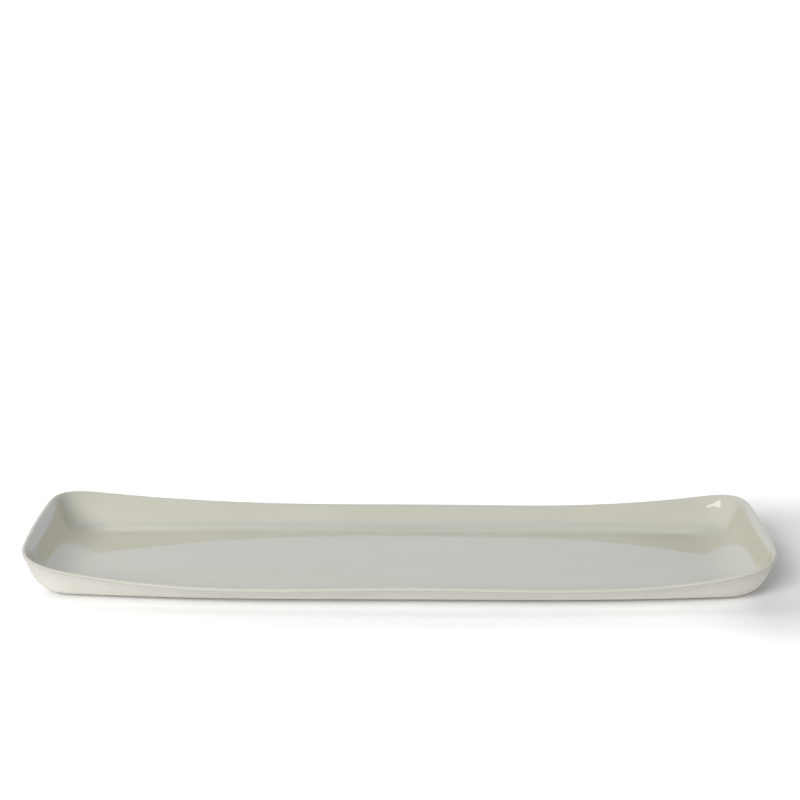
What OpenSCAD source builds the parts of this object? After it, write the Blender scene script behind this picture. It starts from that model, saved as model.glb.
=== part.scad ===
// Long low serving plate of cast porcelain, with a curved wall and a rim swept up at both ends.
// The outside is bare matt porcelain. A gloss glaze covers the inside and runs over the lip.
// The origin is on the resting face under the middle of the plate, with the length along X.

/* [Plan] */
// Overall length, rim to rim
plate_length = 470; // [400:1:540]
// Overall width at the middle, rim to rim
plate_width = 150; // [125:1:180]
// How far each long side of the rim draws in towards its ends
side_bow = 9; // [0:0.5:12]
// How far each short end of the rim draws in towards its corners
end_bow = 2.5; // [0:0.5:5]
// How far each long side of the base draws in towards its ends
base_side_bow = 4.8; // [0:0.1:9]
// How far each short end of the base draws in towards its corners, or out where it is below 0
base_end_bow = -2; // [-3:0.5:3]
// Reach of a rounded rim corner along both of its sides
rim_corner = 33; // [28:1:42]
// Reach of a rounded corner of the base along both of its sides
base_corner = 24; // [20:0.5:30]
// Reach of a rounded corner of the resting face along both of its sides
foot_corner = 15; // [12:0.5:20]
// Reach of a rounded corner of the flat floor along both of its sides
floor_corner = 21; // [16:0.5:26]
// Squareness of the corners, where 2 is a plain round
corner_squareness = 3; // [2:0.1:3.5]

/* [Wall] */
// Lean of the long walls, from the base out to the rim
side_flare = 13.3; // [10:0.1:16]
// Lean of the end walls, from the base out to the rim
end_flare = 7.5; // [5:0.5:12]
// Width of the rounding from the resting face to the base at the long sides
side_round = 14; // [10:0.5:18]
// Width of the rounding from the resting face to the base at the ends
end_round = 19; // [12:0.5:24]
// Width of the cove from the flat floor to the base at the long sides
side_cove = 10; // [7:0.5:14]
// Width of the cove from the flat floor to the base at the ends
end_cove = 31; // [20:1:40]
// Length of the outward curve under the lip at the long sides
side_lip_curve = 6.5; // [4:0.5:9]
// Length of the outward curve under the lip at the ends
end_lip_curve = 11; // [6:0.5:14]
// Slope of the long walls under the lip, as a share of their mean slope
side_lip_slope = 0.72; // [0.65:0.01:0.85]
// Slope of the left end wall under the lip, as a share of its mean slope
left_lip_slope = 0.58; // [0.52:0.01:0.8]
// Slope of the right end wall under the lip, as a share of its mean slope
right_lip_slope = 0.73; // [0.6:0.01:0.85]
// Thickness of the glazed wall and of its rounded lip
wall_thickness = 3; // [2:0.1:4]
// Thickness of the floor under the glaze
floor_thickness = 2.8; // [2.5:0.1:5]

/* [Rim] */
// Height of the rim at the middle of the long sides
middle_height = 15; // [12:0.5:20]
// Height of the rim at the middle of the ends
end_height = 30; // [24:0.5:36]
// Length of rim that sweeps up at the front left
front_left_sweep = 130; // [80:5:220]
// Length of rim that sweeps up at the front right
front_right_sweep = 110; // [80:5:220]
// Length of rim that sweeps up at the back left
back_left_sweep = 215; // [80:5:220]
// Length of rim that sweeps up at the back right
back_right_sweep = 165; // [80:5:220]
// How late the sweep gathers height, where 1 is a straight slope
sweep_power = 2.3; // [1.6:0.1:3]
// Height of the soft swell in the front rim
front_swell = 1; // [0:0.1:1.5]
// Distance from the top of that swell to the dips beside it
swell_spacing = 108; // [80:1:130]
// Place of the top of that swell along the front rim
swell_centre = 6; // [-30:1:30]

/* [Glaze] */
// Thickness of the gloss glaze
glaze_thickness = 0.4; // [0.2:0.05:0.8]

/* [Hidden] */

// Facets along an end, round a corner and along a long side, for one quarter of the plate
end_steps = 3;
corner_steps = 10;
side_steps = 14;
// Facets up one face of the wall and over the lip
curve_steps = 9;
lip_steps = 6;

half_length = plate_length / 2;
half_width = plate_width / 2;
lip_radius = wall_thickness / 2;
// A rounded corner reaches along at most this share of half of an end
corner_limit = 0.8;
// The outward curve under the lip takes at most this share of the wall height
lip_limit = 0.7;
// Depth by which a cut passes the face that it makes
cut_past = 1;

// A rounded corner, from the end of the plate at 0 degrees to the long side at 90
function corner_point(length, width, reach, turn) =
    [length - reach + reach * pow(cos(turn), 2 / corner_squareness),
     width - reach + reach * pow(sin(turn), 2 / corner_squareness)];

// A quarter of a straight-sided outline, from the middle of an end to the middle of a side
function quarter(length, width, reach) = concat(
    [for (i = [0 : end_steps - 1]) [length, (width - reach) * i / end_steps]],
    [for (i = [0 : corner_steps]) corner_point(length, width, reach, 90 * i / corner_steps)],
    [for (i = [1 : side_steps]) [(length - reach) * (1 - i / side_steps), width]]);

// The same quarter with its end and side bowed. The straight parts shorten evenly as their corners
// draw in, so their middles stay on the middle lines of the plate.
function bowed_quarter(length, width, reach, bow) =
    [for (p = quarter(length, width, reach))
        let (
            x_share = min(1, p.x / (length - reach)),
            y_share = min(1, p.y / (width - reach))
        )
        [p.x - bow.x * x_share * pow(p.y / width, 2),
         p.y - bow.y * y_share * pow(p.x / length, 2)]];

// The whole outline, counter-clockwise from the middle of the back. A straight part always stays
// between two corners.
function outline(length, width, reach, bow) =
    let (
        corner = min(reach, corner_limit * (width - bow.y)),
        q = bowed_quarter(length, width, corner, bow),
        last = len(q) - 1
    )
    concat(
        [for (i = [last : -1 : 1]) [-q[i].x, q[i].y]],
        [for (i = [0 : last - 1]) -q[i]],
        [for (i = [last : -1 : 1]) [q[i].x, -q[i].y]],
        [for (i = [0 : last - 1]) q[i]]);

// An outline set in from the base, which is where floor and wall would meet without their curves
function inset_outline(end_inset, side_inset, reach) =
    outline(half_length - end_flare - end_inset, half_width - side_flare - side_inset, reach,
        [base_end_bow, base_side_bow]);

rim_outline = outline(half_length, half_width, rim_corner, [end_bow, side_bow]);
base_outline = inset_outline(0, 0, base_corner);
foot_outline = inset_outline(end_round, side_round, foot_corner);
floor_outline = inset_outline(end_cove, side_cove, floor_corner);
stations = len(rim_outline);

// Share of the sweep's height at a distance from the middle of the plate
function sweep_share(distance, run) =
    pow(max(0, distance - half_length + run) / run, sweep_power);

// Share from 0 at the front rim to 1 at the back rim, level at both
function back_share(p) =
    let (t = 0.5 + p.y / plate_width)
    t * t * (3 - 2 * t);

// Height of the top of the rim over a point of the rim outline
function rim_height(p) =
    let (
        back = back_share(p),
        front_run = p.x < 0 ? front_left_sweep : front_right_sweep,
        back_run = p.x < 0 ? back_left_sweep : back_right_sweep,
        front_rise = sweep_share(abs(p.x), front_run),
        back_rise = sweep_share(abs(p.x), back_run),
        fade = pow(1 - pow(p.x / half_length, 2), 2),
        swell = front_swell * fade * cos(180 * (p.x - swell_centre) / swell_spacing)
    )
    middle_height
        + (end_height - middle_height) * (front_rise * (1 - back) + back_rise * back)
        + swell * (1 - back);

// A wall section stands in an upright plane at one station. Its first axis points out of the plate
// from the base and its second axis is height. The wall leans out by run and reaches up by rise.
function reach_at(k) = rim_outline[k] - base_outline[k];
function outward_at(k) = reach_at(k) / norm(reach_at(k));
function end_share_at(k) = pow(outward_at(k).x, 2);
function lip_centre_at(k) =
    [norm(reach_at(k)) - lip_radius, rim_height(rim_outline[k]) - lip_radius];

// Slope of the wall where it meets the lip
function lip_slope_at(k) =
    let (
        centre = lip_centre_at(k),
        mean_slope = atan2(centre.y, centre.x) - asin(lip_radius / norm(centre)),
        end_slope = outward_at(k).x < 0 ? left_lip_slope : right_lip_slope
    )
    mean_slope * (side_lip_slope * (1 - end_share_at(k)) + end_slope * end_share_at(k));

// A point of a section, set up at its station
function placed(k, point) =
    let (flat = base_outline[k] + outward_at(k) * point.x)
    [flat.x, flat.y, point.y];

function curve_point(a, b, c, d, t) =
    pow(1 - t, 3) * a + 3 * pow(1 - t, 2) * t * b + 3 * (1 - t) * t * t * c + t * t * t * d;

// One face of the wall, from a foot point up to the lip. It leaves the foot level, turns up and
// leans out again under the lip. It lies above and inside the outer face by the two offsets.
function wall_curve(k, foot, floor_offset, wall_offset) =
    let (
        slope = lip_slope_at(k),
        up_wall = [cos(slope), sin(slope)],
        off_wall = [-sin(slope), cos(slope)],
        touch = lip_centre_at(k) - lip_radius * off_wall,
        mixed_curve = side_lip_curve * (1 - end_share_at(k)) + end_lip_curve * end_share_at(k),
        upper = touch - min(mixed_curve, lip_limit * touch.y / sin(slope)) * up_wall,
        lower_slope = atan2(upper.y, upper.x),
        off_lower = [-sin(lower_slope), cos(lower_slope)],
        corner_out = (floor_offset * cos(lower_slope) - wall_offset) / sin(lower_slope),
        off_both = (off_lower + off_wall) / (1 + off_lower * off_wall),
        a = [foot.x, foot.y, floor_offset],
        b = placed(k, [corner_out, floor_offset]),
        c = placed(k, upper + wall_offset * off_both),
        d = placed(k, touch + wall_offset * off_wall)
    )
    [for (i = [0 : curve_steps]) curve_point(a, b, c, d, i / curve_steps)];

// Half circle over the lip, from the outer face to the inner face
function lip_curve(k, radius) =
    [for (i = [0 : lip_steps])
        let (turn = lip_slope_at(k) - 90 + 180 * i / lip_steps)
        placed(k, lip_centre_at(k) + radius * [cos(turn), sin(turn)])];

function outer_curve(k) = wall_curve(k, foot_outline[k], 0, 0);

// Inner face of the porcelain under a coat, from the lip down to the flat floor
function inner_curve(k, coat) =
    let (bare_thickness = wall_thickness - glaze_thickness)
    reversed(wall_curve(k, floor_outline[k], floor_thickness + coat, bare_thickness + coat));

function reversed(list) = [for (i = [len(list) - 1 : -1 : 0]) list[i]];
function without_first(list) = [for (i = [1 : len(list) - 1]) list[i]];

// Lip and inner face in one run, from the outer edge of the lip down to the flat floor
function lip_and_inside(k, coat) = concat(
    lip_curve(k, lip_radius - glaze_thickness + coat),
    without_first(inner_curve(k, coat)));

// The section of the body starts below its resting face, which is then cut flat. Its lip is set
// back by the glaze, so that glaze and bare wall are flush.
function body_section(k) = concat(
    [[foot_outline[k].x, foot_outline[k].y, -cut_past]],
    outer_curve(k),
    lip_and_inside(k, 0));

function glaze_section(k) =
    concat(reversed(lip_and_inside(k, 0)), lip_and_inside(k, glaze_thickness));

// Two triangles between rings i and i + 1 at station k, split along the stated diagonal
function facet_pair(i, k, other_diagonal) =
    let (
        next = (k + 1) % stations,
        a = i * stations + k,
        b = (i + 1) * stations + k,
        c = (i + 1) * stations + next,
        d = i * stations + next
    )
    other_diagonal ? [[a, b, d], [b, c, d]] : [[a, b, c], [a, c, d]];

// A closed skin over the sections, capped flat at the first ring below and the last ring above.
// The first rings take the other diagonal, so that two skins on the same rings touch everywhere.
module skin(all_sections, turned_rings) {
    rings = len(all_sections[0]);
    last_ring = (rings - 1) * stations;
    low_middle = rings * stations;
    high_middle = low_middle + 1;
    points = concat(
        [for (i = [0 : rings - 1]) for (k = [0 : stations - 1]) all_sections[k][i]],
        [[0, 0, all_sections[0][0].z], [0, 0, all_sections[0][rings - 1].z]]);
    low_cap = [for (k = [0 : stations - 1]) [low_middle, k, (k + 1) % stations]];
    high_cap = [for (k = [0 : stations - 1])
        [high_middle, last_ring + (k + 1) % stations, last_ring + k]];
    sides = [for (i = [0 : rings - 2]) for (k = [0 : stations - 1])
        for (facet = facet_pair(i, k, i < turned_rings)) facet];
    polyhedron(points, concat(high_cap, sides, low_cap));
}

module porcelain_body() {
    color("#dcdbd2")
    difference() {
        skin([for (k = [0 : stations - 1]) body_section(k)], 0);
        translate([-plate_length, -plate_width, -2 * cut_past])
            cube([2 * plate_length, 2 * plate_width, 2 * cut_past]);
    }
}

module inner_glaze() {
    color("#c8c8bc")
    skin([for (k = [0 : stations - 1]) glaze_section(k)], lip_steps + curve_steps);
}

porcelain_body();
inner_glaze();
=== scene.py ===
import math

import bpy
import numpy as np
from mathutils import Euler, Matrix, Vector


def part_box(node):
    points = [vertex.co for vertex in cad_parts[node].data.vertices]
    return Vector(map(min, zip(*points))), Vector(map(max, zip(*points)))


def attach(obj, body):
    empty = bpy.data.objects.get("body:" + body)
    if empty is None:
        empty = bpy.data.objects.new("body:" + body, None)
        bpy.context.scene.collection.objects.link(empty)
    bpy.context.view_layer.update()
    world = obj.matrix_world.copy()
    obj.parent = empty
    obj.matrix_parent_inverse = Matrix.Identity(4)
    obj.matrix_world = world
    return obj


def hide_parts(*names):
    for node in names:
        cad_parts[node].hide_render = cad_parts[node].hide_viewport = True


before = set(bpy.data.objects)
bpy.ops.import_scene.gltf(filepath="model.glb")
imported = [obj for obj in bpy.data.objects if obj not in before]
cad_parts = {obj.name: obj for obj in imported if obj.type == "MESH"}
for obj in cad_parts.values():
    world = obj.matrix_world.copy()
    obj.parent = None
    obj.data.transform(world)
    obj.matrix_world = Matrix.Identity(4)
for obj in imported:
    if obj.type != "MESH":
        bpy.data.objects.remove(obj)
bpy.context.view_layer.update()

MM = 0.001

# Overall size, taken from the CAD glaze, which runs over the lip
glaze_low, glaze_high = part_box("inner_glaze")
HALF_LENGTH = (glaze_high.x - glaze_low.x) / 2
HALF_WIDTH = (glaze_high.y - glaze_low.y) / 2
END_HEIGHT = glaze_high.z

# Plan of the plate
SIDE_BOW = 9 * MM
END_BOW = 2.5 * MM
BASE_SIDE_BOW = 4.8 * MM
BASE_END_BOW = -2 * MM
RIM_CORNER = 33 * MM
BASE_CORNER = 24 * MM
FOOT_CORNER = 15 * MM
FLOOR_CORNER = 21 * MM
CORNER_SQUARENESS = 3.0

# Wall, floor and glaze
SIDE_FLARE = 13.3 * MM
END_FLARE = 7.5 * MM
SIDE_ROUND = 14 * MM
END_ROUND = 19 * MM
SIDE_COVE = 10 * MM
END_COVE = 31 * MM
SIDE_LIP_CURVE = 6.5 * MM
END_LIP_CURVE = 11 * MM
SIDE_LIP_SLOPE = 0.72
LEFT_LIP_SLOPE = 0.58
RIGHT_LIP_SLOPE = 0.73
WALL_THICKNESS = 3 * MM
LIP_RADIUS = WALL_THICKNESS / 2
FLOOR_THICKNESS = 2.8 * MM
GLAZE_THICKNESS = 0.4 * MM
GLAZE_FEATHER = 0.5 * MM

# Rim
MIDDLE_HEIGHT = 15 * MM
FRONT_LEFT_SWEEP = 130 * MM
FRONT_RIGHT_SWEEP = 110 * MM
BACK_LEFT_SWEEP = 215 * MM
BACK_RIGHT_SWEEP = 165 * MM
SWEEP_POWER = 2.3
FRONT_SWELL = 1 * MM
SWELL_SPACING = 108 * MM
SWELL_CENTRE = 6 * MM
FRONT_LIFT = 1 * MM
LIFT_POWER = 8

# Grid density: steps along an end, round a corner and along a side for a quarter of the plate
END_STEPS = 22
CORNER_STEPS = 52
SIDE_STEPS = 110

# Rings from the middle of the base to the middle of the floor, few where glaze or porcelain hides them
BASE_RINGS = 8
OUTSIDE_RINGS = 44
LIP_RINGS = 20
INSIDE_RINGS = 58
FLOOR_RINGS = 26
HIDDEN_LIP_RINGS = 10
HIDDEN_INSIDE_RINGS = 16
HIDDEN_FLOOR_RINGS = 6

# Painted shade in the cove of the long sides: slopes in degrees with the share at each, fading towards the
# ends
COVE_SHADE_SLOPES = (12, 24, 30, 38)
COVE_SHADE_SHARES = (0, 1, 1, 0)
COVE_SHADE_FADE_POWER = 4

# Painted shade along the lip's glaze: full up to the first distance from the outer edge, gone at the second
LIP_SHADE_FULL = 1.1 * MM
LIP_SHADE_GONE = 1.6 * MM

# Tones as they look on screen, 0 to 255
BARE_DARK = (220, 217, 207)
BARE_LIGHT = (225, 223, 214)
GLAZE_DARK = (185, 184, 169)
GLAZE_LIGHT = (189, 188, 174)
# Painted shade tone of the glaze in the cove of the long sides
COVE_SHADE_TONE = (177, 177, 166)
# Painted shade tone of the glaze along the outer edge of the lip
LIP_SHADE_TONE = (177, 175, 167)

# Noise values at which a patchy tone is fully dark and fully light
PATCH_DARK_END = 0.3
PATCH_LIGHT_END = 0.7

# Painted shade on the bare outer wall: the share of the bare porcelain's brightness that is left at the
# top, beside the glaze
TOP_SHADE_SHARE = (0.69, 0.69, 0.70, 1.0)

# Studio floor: its glow, between two distances in plate reaches, and the deep shade off the right end
FLOOR_HALF = 0.9
FLOOR_TONE = (0.82, 0.82, 0.82, 1.0)
NEAR_GLOW = 0.18
FAR_GLOW = 0.32
GLOW_START = 1.0
GLOW_END = 1.6
SHADE_MIDDLE = (0.29, 0, 0)
SHADE_REACH = (0.1, 0.1, 1)
SHADE_START = 0.7
SHADE_END = 1.6
CONTACT_REACH = 6 * MM

# Studio lamps and surround: places in degrees, sizes in metres
LAMP_DISTANCE = 3.0
LAMP_SIZE = (1.4, 1.4)
WORLD_LIGHT = 0.02
WHITE = (1.0, 1.0, 1.0, 1.0)
REFLECTED_WHITE = (0.95, 1.0, 1.2, 1.0)

# Window that is seen in the glaze: angles in degrees, length in metres, brightness in watts per area
WINDOW_PANES = 8
WINDOW_LENGTH = 1.7
WINDOW_BRIGHTNESS = 18.3
WINDOW_TILT = 17
WINDOW_TURN = 219
WINDOW_TURN_SPAN = 38
WINDOW_LOW_EDGE = 29.3
WINDOW_CLIMB = 8.4
WINDOW_TIP_HEIGHT = 1.5
WINDOW_EXTRA_HEIGHT = 3.2

# Camera, fitted to the photograph's rim, lip and base lines
FRAME_PIXELS = 800
FOCAL_PIXELS = 1616.1
SENSOR_WIDTH = 36.0
CAMERA_PLACE = Vector((0.0001, -0.9730, 0.4077))
CAMERA_PITCH = math.radians(16.87)
CAMERA_ROLL = 0.0046


def superellipse_corner(half_length, half_width, reach):
    """Corner points (length - reach + reach cos^p, width - reach + reach sin^p), p = 2 / squareness."""
    turn = np.linspace(0, math.pi / 2, CORNER_STEPS + 1)
    power = 2 / CORNER_SQUARENESS
    x = half_length - reach + reach * np.clip(np.cos(turn), 0, 1) ** power
    y = half_width - reach + reach * np.clip(np.sin(turn), 0, 1) ** power
    return x, y


def bowed_outline(half_length, half_width, reach, side_bow, end_bow):
    """Closed outline, counter-clockwise from the middle of the back, as an array of (x, y).

    A quarter runs along half an end, round a superellipse corner and along half a side. Each side is
    then drawn in by its bow times the square of the distance from its middle. The straight parts
    shorten evenly, so that their middles stay on the plate's middle lines.
    """
    corner_x, corner_y = superellipse_corner(half_length, half_width, reach)
    end_y = np.linspace(0, half_width - reach, END_STEPS + 1)[:-1]
    side_x = np.linspace(half_length - reach, 0, SIDE_STEPS + 1)[1:]
    x = np.concatenate([np.full_like(end_y, half_length), corner_x, side_x])
    y = np.concatenate([end_y, corner_y, np.full_like(side_x, half_width)])
    x_share = np.minimum(1, x / (half_length - reach))
    y_share = np.minimum(1, y / (half_width - reach))
    drawn_x = x - end_bow * x_share * (y / half_width) ** 2
    drawn_y = y - side_bow * y_share * (x / half_length) ** 2
    quarter = np.stack([drawn_x, drawn_y], axis=1)
    forward = quarter[:-1]
    backward = quarter[:0:-1]
    return np.concatenate([backward * (-1, 1), -forward, backward * (1, -1), forward])


def rim_height(x, y):
    """Rim height over the rim outline: the middle height plus a power-law sweep towards each end.

    Each of the four half sides has its own sweep length. The front side also carries a cosine swell
    and a slight lift, as on a hand-made rim, which fade out towards the ends. Front and back blend
    across the width by a smooth step.
    """
    back = np.clip(0.5 + y / (2 * HALF_WIDTH), 0, 1)
    back = back * back * (3 - 2 * back)

    def sweep(left_run, right_run):
        run = np.where(x < 0, left_run, right_run)
        return (np.maximum(0, np.abs(x) - HALF_LENGTH + run) / run) ** SWEEP_POWER

    rise = sweep(FRONT_LEFT_SWEEP, FRONT_RIGHT_SWEEP) * (1 - back)
    rise = rise + sweep(BACK_LEFT_SWEEP, BACK_RIGHT_SWEEP) * back
    fade = (1 - (x / HALF_LENGTH) ** 2) ** 2
    swell = FRONT_SWELL * fade * np.cos(math.pi * (x - SWELL_CENTRE) / SWELL_SPACING)
    lift = FRONT_LIFT * (1 - (x / HALF_LENGTH) ** LIFT_POWER)
    return MIDDLE_HEIGHT + (END_HEIGHT - MIDDLE_HEIGHT) * rise + (swell + lift) * (1 - back)


class WallSections:
    """Wall sections at every station of the outline, as arrays of rings by stations.

    A section runs from the edge of the resting face over its corner on the base outline to the rim.
    Out is the distance from the base outline towards the rim and up is the height. The wall is a cubic
    curve that leaves the resting face level, turns up and leans outwards again under the lip.
    """

    def __init__(self):
        base_length = HALF_LENGTH - END_FLARE
        base_width = HALF_WIDTH - SIDE_FLARE

        def inset_outline(end_inset, side_inset, corner):
            length = base_length - end_inset
            return bowed_outline(length, base_width - side_inset, corner, BASE_SIDE_BOW, BASE_END_BOW)

        self.base = inset_outline(0, 0, BASE_CORNER)
        self.foot = inset_outline(END_ROUND, SIDE_ROUND, FOOT_CORNER)
        self.floor = inset_outline(END_COVE, SIDE_COVE, FLOOR_CORNER)
        rim = bowed_outline(HALF_LENGTH, HALF_WIDTH, RIM_CORNER, SIDE_BOW, END_BOW)
        reach = rim - self.base
        run = np.hypot(reach[:, 0], reach[:, 1])
        self.outward = reach / run[:, None]
        self.lip = np.stack([run, rim_height(rim[:, 0], rim[:, 1])], axis=1) - LIP_RADIUS
        distance = np.hypot(self.lip[:, 0], self.lip[:, 1])
        mean_slope = np.arctan2(self.lip[:, 1], self.lip[:, 0]) - np.arcsin(LIP_RADIUS / distance)
        end_share = self.outward[:, 0] ** 2
        end_slope = np.where(self.outward[:, 0] < 0, LEFT_LIP_SLOPE, RIGHT_LIP_SLOPE)
        self.slope = mean_slope * (SIDE_LIP_SLOPE * (1 - end_share) + end_slope * end_share)
        self.lip_curve = SIDE_LIP_CURVE * (1 - end_share) + END_LIP_CURVE * end_share
        self.up_wall = np.stack([np.cos(self.slope), np.sin(self.slope)], axis=1)
        self.off_wall = np.stack([-np.sin(self.slope), np.cos(self.slope)], axis=1)

    def placed(self, section):
        """Points base + outward * out at height up, as an array of rings by stations by xyz."""
        flat = self.base[None] + self.outward[None] * section[..., :1]
        return np.concatenate([flat, section[..., 1:]], axis=2)

    def wall_curve(self, foot, floor_offset, wall_offset, steps):
        """Cubic curve (1-t)^3 a + 3(1-t)^2 t b + 3(1-t) t^2 c + t^3 d from the resting face to the lip.

        Its corner points a, b, c and d are moved inwards from the outer face: the level part by the
        floor offset and the wall by the wall offset.
        """
        touch = self.lip - LIP_RADIUS * self.off_wall
        upper = touch - self.lip_curve[:, None] * self.up_wall
        middle_slope = np.arctan2(upper[:, 1], upper[:, 0])
        off_middle = np.stack([-np.sin(middle_slope), np.cos(middle_slope)], axis=1)
        corner_out = (floor_offset * np.cos(middle_slope) - wall_offset) / np.sin(middle_slope)
        level = np.full_like(corner_out, floor_offset)
        agreement = (off_middle * self.off_wall).sum(axis=1)
        between_walls = (off_middle + self.off_wall) / (1 + agreement)[:, None]
        a = np.concatenate([foot, level[:, None]], axis=1)
        b = self.placed(np.stack([corner_out, level], axis=1)[None])
        c = self.placed((upper + wall_offset * between_walls)[None])
        d = self.placed((touch + wall_offset * self.off_wall)[None])
        t = np.linspace(0, 1, steps)[:, None, None]
        return (1 - t) ** 3 * a + 3 * (1 - t) ** 2 * t * b + 3 * (1 - t) * t ** 2 * c + t ** 3 * d

    def outside(self, steps):
        """Outer face, from the resting face up to the lip."""
        return self.wall_curve(self.foot, 0.0, 0.0, steps)

    def over_lip(self, radius, steps):
        """Half circle over the lip, from the outer face of the wall to its inner face."""
        turn = self.slope - math.pi / 2 + np.linspace(0, math.pi, steps)[:, None]
        return self.placed(self.lip[None] + radius * np.stack([np.cos(turn), np.sin(turn)], axis=2))

    def inside(self, coat, steps):
        """Inner face of the porcelain under a coat, from the lip down to the floor."""
        wall_offset = WALL_THICKNESS - GLAZE_THICKNESS + coat
        return self.wall_curve(self.floor, FLOOR_THICKNESS + coat, wall_offset, steps)[::-1]

    def lip_and_inside(self, coat, lip_steps, steps):
        """Lip and inner face under a coat in one run, from the outer edge of the lip to the floor."""
        lip = self.over_lip(LIP_RADIUS - GLAZE_THICKNESS + coat, lip_steps)
        return np.concatenate([lip, self.inside(coat, steps)[1:]])


def towards_middle(ring, steps):
    """Rings that shrink a flat ring towards the plate's middle, without the middle point."""
    share = np.linspace(1, 0, steps + 1)[1:-1, None, None]
    rings = np.repeat(ring[None], steps - 1, axis=0) * np.array((1, 1, 0))
    return rings * share + ring[None] * np.array((0, 0, 1))


def closed_skin(name, rings, tints):
    """Mesh over an array of rings by stations, closed by a middle point under the first and last ring.

    Each named tint gives every point a share from 0 to 1, which the material reads.
    """
    count, stations = rings.shape[:2]
    low_middle = np.array((0, 0, rings[0, 0, 2]))
    high_middle = np.array((0, 0, rings[-1, :, 2].mean()))
    points = np.concatenate([rings.reshape(-1, 3), low_middle[None], high_middle[None]])
    index = np.arange(count * stations).reshape(count, stations)
    following = np.roll(index, -1, axis=1)
    quads = np.stack([index[:-1], following[:-1], following[1:], index[1:]], axis=2).reshape(-1, 4)
    low_fan = np.stack([np.full(stations, len(points) - 2), following[0], index[0]], axis=1)
    high_fan = np.stack([np.full(stations, len(points) - 1), index[-1], following[-1]], axis=1)
    mesh = bpy.data.meshes.new(name)
    mesh.from_pydata(points.tolist(), [], quads.tolist() + low_fan.tolist() + high_fan.tolist())
    mesh.polygons.foreach_set("use_smooth", np.ones(len(mesh.polygons), dtype=bool))
    for tint, share in tints.items():
        layer = mesh.attributes.new(tint, "FLOAT", "POINT")
        layer.data.foreach_set("value", np.append(share.ravel(), (0.0, 0.0)))
    mesh.update()
    piece = bpy.data.objects.new(name, mesh)
    bpy.context.scene.collection.objects.link(piece)
    return piece


def porcelain_shell(sections):
    """The cast body as one closed skin: resting face, outer wall, lip, inner wall and floor.

    The lip is set back by the glaze that covers it. The painted shade share of a point is its height over
    the greatest height at its station, so painted shade darkens the bare wall evenly from the base to the
    glaze.
    """
    outside = sections.outside(OUTSIDE_RINGS)
    inside = sections.lip_and_inside(0.0, HIDDEN_LIP_RINGS, HIDDEN_INSIDE_RINGS)
    rings = np.concatenate([
        towards_middle(outside[0], BASE_RINGS)[::-1],
        outside,
        inside,
        towards_middle(inside[-1], HIDDEN_FLOOR_RINGS),
    ])
    # Painted shade share: height over the greatest height at each station
    top_shade = rings[..., 2] / rings[..., 2].max(axis=0)
    return closed_skin("porcelain_shell", rings, {"top_shade": top_shade})


def glaze_coat(sections):
    """The glaze as a closed skin: its underside on the porcelain, then its upper face.

    The upper face starts on the porcelain at the outer edge of the lip and reaches full thickness over
    the feather length, as 1 - exp(-distance / feather). Painted shade lies in the cove of the long sides,
    where the slope along the section lies between that of the floor and that of the wall. The share of
    painted shade along the lip falls with the distance from the outer edge of the lip.
    """
    under = sections.lip_and_inside(0.0, HIDDEN_LIP_RINGS, HIDDEN_INSIDE_RINGS)
    bare = sections.lip_and_inside(0.0, LIP_RINGS, INSIDE_RINGS)
    full = sections.lip_and_inside(GLAZE_THICKNESS, LIP_RINGS, INSIDE_RINGS)
    distance = np.linalg.norm(full - full[0][None], axis=2)
    share = 1 - np.exp(-distance / GLAZE_FEATHER)
    upper = bare + (full - bare) * share[..., None]
    rings = np.concatenate([
        towards_middle(under[-1], HIDDEN_FLOOR_RINGS)[::-1],
        under[::-1],
        upper[1:],
        towards_middle(upper[-1], FLOOR_RINGS),
    ])
    along = np.gradient(rings, axis=0)
    slope = np.degrees(np.arctan2(np.abs(along[..., 2]), np.hypot(along[..., 0], along[..., 1])))
    side_share = 1 - sections.outward[:, 0] ** 2
    # Painted shade share in the cove of the long sides, fading towards the ends
    cove_shade = np.interp(slope, COVE_SHADE_SLOPES, COVE_SHADE_SHARES) * side_share ** COVE_SHADE_FADE_POWER
    # Painted shade share along the lip, falling with the distance from its outer edge
    from_edge = np.linalg.norm(rings - upper[0][None], axis=2)
    edge = np.interp(from_edge, (LIP_SHADE_FULL, LIP_SHADE_GONE), (1, 0))
    return closed_skin("glaze_coat", rings, {"cove_shade": cove_shade, "edge": edge})


def node(tree, kind, **settings):
    """A shader node with its plain settings and unlinked inputs filled in."""
    made = tree.nodes.new(kind)
    inputs = settings.pop("inputs", {})
    for key, value in settings.items():
        setattr(made, key, value)
    for key, value in inputs.items():
        made.inputs[key].default_value = value
    return made


def srgb(red, green, blue):
    """A colour given as it looks on screen, 0 to 255, in the linear values that a shader takes."""
    share = np.array((red, green, blue)) / 255
    linear = np.where(share <= 0.04045, share / 12.92, ((share + 0.055) / 1.055) ** 2.4)
    return (*linear.tolist(), 1.0)


def new_material(name):
    """A material with nodes, its node tree and its surface shader."""
    material = bpy.data.materials.new(name)
    material.use_nodes = True
    tree = material.node_tree
    return material, tree, tree.nodes["Principled BSDF"]


def patchy_tone(tree, vector, noise, dark, light):
    """A colour that drifts between two tones with a noise over a place vector."""
    patches = node(tree, "ShaderNodeTexNoise", inputs=noise)
    tone = node(tree, "ShaderNodeValToRGB")
    low, high = tone.color_ramp.elements
    low.position = PATCH_DARK_END
    low.color = srgb(*dark)
    high.position = PATCH_LIGHT_END
    high.color = srgb(*light)
    tree.links.new(vector, patches.inputs["Vector"])
    tree.links.new(patches.outputs["Fac"], tone.inputs["Fac"])
    return tone.outputs["Color"]


def tinted(tree, colour, tint, tint_colour, blend="MIX"):
    """A colour blended with a tint colour by the share that the mesh holds under the tint's name."""
    share = node(tree, "ShaderNodeAttribute", attribute_name=tint)
    mix = node(tree, "ShaderNodeMix", data_type="RGBA", blend_type=blend, inputs={7: tint_colour})
    tree.links.new(share.outputs["Fac"], mix.inputs[0])
    tree.links.new(colour, mix.inputs[6])
    return mix.outputs[2]


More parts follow.
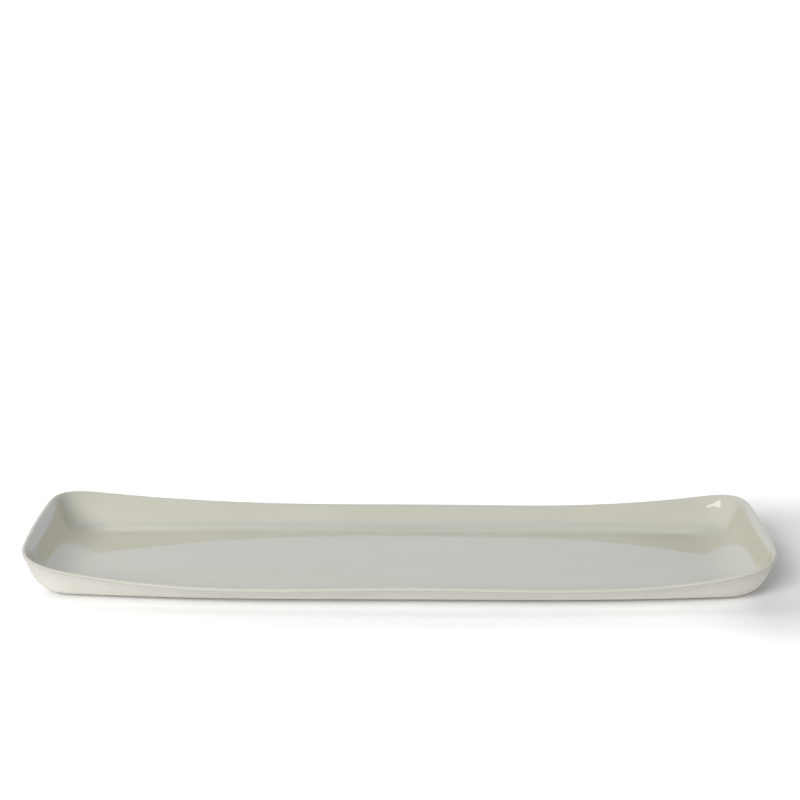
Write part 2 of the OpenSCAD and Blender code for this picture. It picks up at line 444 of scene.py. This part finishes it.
def bare_porcelain_material():
    """Matt bare porcelain: warm white with soft patches and a fine grain, darkened towards the glaze by
    painted shade.
    """
    material, tree, shader = new_material("bare_porcelain")
    link = tree.links.new
    place = node(tree, "ShaderNodeTexCoord")
    patches = {"Scale": 28.0, "Detail": 4.0, "Roughness": 0.55}
    tone = patchy_tone(tree, place.outputs["Object"], patches, BARE_DARK, BARE_LIGHT)
    # Painted shade: the bare tone darkens towards the top of the wall
    tone = tinted(tree, tone, "top_shade", TOP_SHADE_SHARE, "MULTIPLY")
    grain = node(tree, "ShaderNodeTexNoise", inputs={"Scale": 2600.0, "Detail": 3.0, "Roughness": 0.6})
    bump = node(tree, "ShaderNodeBump", inputs={"Strength": 0.12, "Distance": 0.0002})
    link(place.outputs["Object"], grain.inputs["Vector"])
    link(tone, shader.inputs["Base Color"])
    link(grain.outputs["Fac"], bump.inputs["Height"])
    link(bump.outputs["Normal"], shader.inputs["Normal"])
    shader.inputs["Roughness"].default_value = 0.62
    shader.inputs["Specular IOR Level"].default_value = 0.35
    return material


def gloss_glaze_material():
    """Gloss glaze: grey-green ivory under a clear shine, with a faint unevenness of the surface.

    Painted shade makes it darker and greyer in the cove of the long sides and along its outer edge on the
    lip.
    """
    material, tree, shader = new_material("gloss_glaze")
    link = tree.links.new
    place = node(tree, "ShaderNodeTexCoord")
    stretch = node(tree, "ShaderNodeMapping", inputs={"Scale": (0.4, 1.0, 1.0)})
    patches = {"Scale": 40.0, "Detail": 5.0, "Roughness": 0.6}
    tone = patchy_tone(tree, stretch.outputs["Vector"], patches, GLAZE_DARK, GLAZE_LIGHT)
    # Painted shade in the cove of the long sides
    tone = tinted(tree, tone, "cove_shade", srgb(*COVE_SHADE_TONE))
    # Painted shade along the outer edge of the lip
    tone = tinted(tree, tone, "edge", srgb(*LIP_SHADE_TONE))
    ripple = node(tree, "ShaderNodeTexNoise", inputs={"Scale": 90.0, "Detail": 2.0, "Roughness": 0.45})
    bump = node(tree, "ShaderNodeBump", inputs={"Strength": 1.0, "Distance": 0.00003})
    link(place.outputs["Object"], stretch.inputs["Vector"])
    link(tone, shader.inputs["Base Color"])
    link(place.outputs["Object"], ripple.inputs["Vector"])
    link(ripple.outputs["Fac"], bump.inputs["Height"])
    link(bump.outputs["Normal"], shader.inputs["Normal"])
    shader.inputs["Roughness"].default_value = 0.018
    shader.inputs["IOR"].default_value = 1.5
    return material


def floor_material():
    """Matt white floor that keeps the shadow and brightens to white away from the plate.

    The glow rises over an ellipse round the plate. It falls to nothing at the right end, where the
    shadow is deepest, and where the plate meets the floor.
    """
    material, tree, shader = new_material("studio_floor")
    link = tree.links.new
    place = node(tree, "ShaderNodeTexCoord")

    def rise(middle, reach, start, stop, low, high):
        """A value that climbs smoothly from low to high between two distances, in reaches from a middle."""
        scaled = node(tree, "ShaderNodeMapping", vector_type="TEXTURE",
                      inputs={"Location": middle, "Scale": reach})
        away = node(tree, "ShaderNodeVectorMath", operation="LENGTH")
        ramp = node(tree, "ShaderNodeMapRange", interpolation_type="SMOOTHSTEP",
                    inputs={"From Min": start, "From Max": stop, "To Min": low, "To Max": high})
        link(place.outputs["Object"], scaled.inputs["Vector"])
        link(scaled.outputs["Vector"], away.inputs[0])
        link(away.outputs["Value"], ramp.inputs["Value"])
        return ramp.outputs["Result"]

    glow = node(tree, "ShaderNodeMath", operation="MULTIPLY")
    contact = node(tree, "ShaderNodeAmbientOcclusion", inputs={"Distance": CONTACT_REACH})
    plate_reach = (HALF_LENGTH, HALF_WIDTH, 1)
    link(rise((0, 0, 0), plate_reach, GLOW_START, GLOW_END, NEAR_GLOW, FAR_GLOW), glow.inputs[0])
    link(rise(SHADE_MIDDLE, SHADE_REACH, SHADE_START, SHADE_END, 0.0, 1.0), glow.inputs[1])
    link(glow.outputs[0], shader.inputs["Emission Strength"])
    link(contact.outputs["Color"], shader.inputs["Emission Color"])
    shader.inputs["Base Color"].default_value = FLOOR_TONE
    shader.inputs["Roughness"].default_value = 1.0
    shader.inputs["Specular IOR Level"].default_value = 0.0
    return material


def studio_floor():
    """A level square floor under the plate."""
    half = FLOOR_HALF
    mesh = bpy.data.meshes.new("studio_floor")
    corners = [(-half, -half, 0), (half, -half, 0), (half, half, 0), (-half, half, 0)]
    mesh.from_pydata(corners, [], [(0, 1, 2, 3)])
    floor = bpy.data.objects.new("studio_floor", mesh)
    bpy.context.scene.collection.objects.link(floor)
    floor.data.materials.append(floor_material())


def studio_world():
    """A white surround: white to the camera, cool white in reflections, and a weak soft light."""
    world = bpy.data.worlds.new("studio_world")
    world.use_nodes = True
    tree = world.node_tree
    link = tree.links.new
    path = node(tree, "ShaderNodeLightPath")
    light = tree.nodes["Background"]
    light.inputs["Strength"].default_value = WORLD_LIGHT
    light.inputs["Color"].default_value = WHITE
    reflected = node(tree, "ShaderNodeBackground", inputs={"Color": REFLECTED_WHITE, "Strength": 1.0})
    seen = node(tree, "ShaderNodeBackground", inputs={"Color": WHITE, "Strength": 1.0})
    first = node(tree, "ShaderNodeMixShader")
    second = node(tree, "ShaderNodeMixShader")
    link(path.outputs["Is Glossy Ray"], first.inputs[0])
    link(light.outputs[0], first.inputs[1])
    link(reflected.outputs[0], first.inputs[2])
    link(path.outputs["Is Camera Ray"], second.inputs[0])
    link(first.outputs[0], second.inputs[1])
    link(seen.outputs[0], second.inputs[2])
    link(second.outputs[0], tree.nodes["World Output"].inputs["Surface"])
    bpy.context.scene.world = world


def soft_lamp(name, turn, height, size, power, tilt=0, seen=False):
    """A far flat lamp that faces the plate from a compass turn and a height and is tilted, in degrees.

    Only a lamp marked as seen shows in the glaze, which reflects the even surround elsewhere.
    """
    turn = math.radians(turn)
    height = math.radians(height)
    level = Vector((math.cos(turn), math.sin(turn), 0)) * math.cos(height)
    place = (level + Vector((0, 0, math.sin(height)))) * LAMP_DISTANCE
    lamp = bpy.data.lights.new(name, "AREA")
    lamp.shape = "RECTANGLE"
    lamp.size, lamp.size_y = size
    lamp.energy = power
    holder = bpy.data.objects.new(name, lamp)
    holder.location = place
    facing = (-place).to_track_quat("-Z", "Y").to_matrix()
    holder.rotation_euler = (facing @ Matrix.Rotation(math.radians(tilt), 3, "Z")).to_euler()
    holder.visible_glossy = seen
    bpy.context.scene.collection.objects.link(holder)


def window_lamps():
    """A slanted window that narrows towards the front, as a row of flat lamps of one brightness.

    Over the share s of its length the lower edge climbs evenly, and the window's height above that edge
    is the tip height plus the extra height times (1 - s)^2.
    """
    for pane in range(WINDOW_PANES):
        share = (pane + 0.5) / WINDOW_PANES
        span = WINDOW_TIP_HEIGHT + WINDOW_EXTRA_HEIGHT * (1 - share) ** 2
        middle = WINDOW_LOW_EDGE + WINDOW_CLIMB * share + span / 2
        turn = WINDOW_TURN + WINDOW_TURN_SPAN * share
        size = (WINDOW_LENGTH / WINDOW_PANES, LAMP_DISTANCE * math.radians(span))
        power = WINDOW_BRIGHTNESS * size[0] * size[1]
        soft_lamp(f"window_lamp_{pane}", turn, middle, size, power, WINDOW_TILT, seen=True)


def photo_camera():
    """The photograph's camera: level with the plate's length, pitched down and slightly rolled."""
    data = bpy.data.cameras.new("photo_camera")
    data.sensor_fit = "HORIZONTAL"
    data.sensor_width = SENSOR_WIDTH
    data.lens = FOCAL_PIXELS / FRAME_PIXELS * SENSOR_WIDTH
    holder = bpy.data.objects.new("photo_camera", data)
    pitch = Euler((math.pi / 2 - CAMERA_PITCH, 0, 0)).to_matrix()
    roll = Matrix.Rotation(CAMERA_ROLL, 3, "Z")
    holder.matrix_world = Matrix.Translation(CAMERA_PLACE) @ (pitch @ roll).to_4x4()
    bpy.context.scene.collection.objects.link(holder)
    bpy.context.scene.camera = holder


def dress(piece, material, cad_node):
    """Gives a piece its material and sets it in the frame in place of its CAD node."""
    piece.data.materials.append(material)
    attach(piece, "root")
    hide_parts(cad_node)


sections = WallSections()
dress(porcelain_shell(sections), bare_porcelain_material(), "porcelain_body")
dress(glaze_coat(sections), gloss_glaze_material(), "inner_glaze")

studio_floor()
studio_world()
soft_lamp("key_lamp", turn=243, height=30, size=LAMP_SIZE, power=89)
soft_lamp("right_lamp", turn=0, height=15, size=LAMP_SIZE, power=30)
soft_lamp("left_back_lamp", turn=160, height=50, size=LAMP_SIZE, power=18)
soft_lamp("back_lamp", turn=90, height=30, size=LAMP_SIZE, power=31)
soft_lamp("overhead_lamp", turn=91, height=78, size=(1.3, 0.9), power=2.4, seen=True)
soft_lamp("overhead_wide_lamp", turn=91, height=78, size=(1.6, 1.6), power=4.6, seen=True)
window_lamps()
photo_camera()
bpy.context.scene.view_settings.view_transform = "Standard"
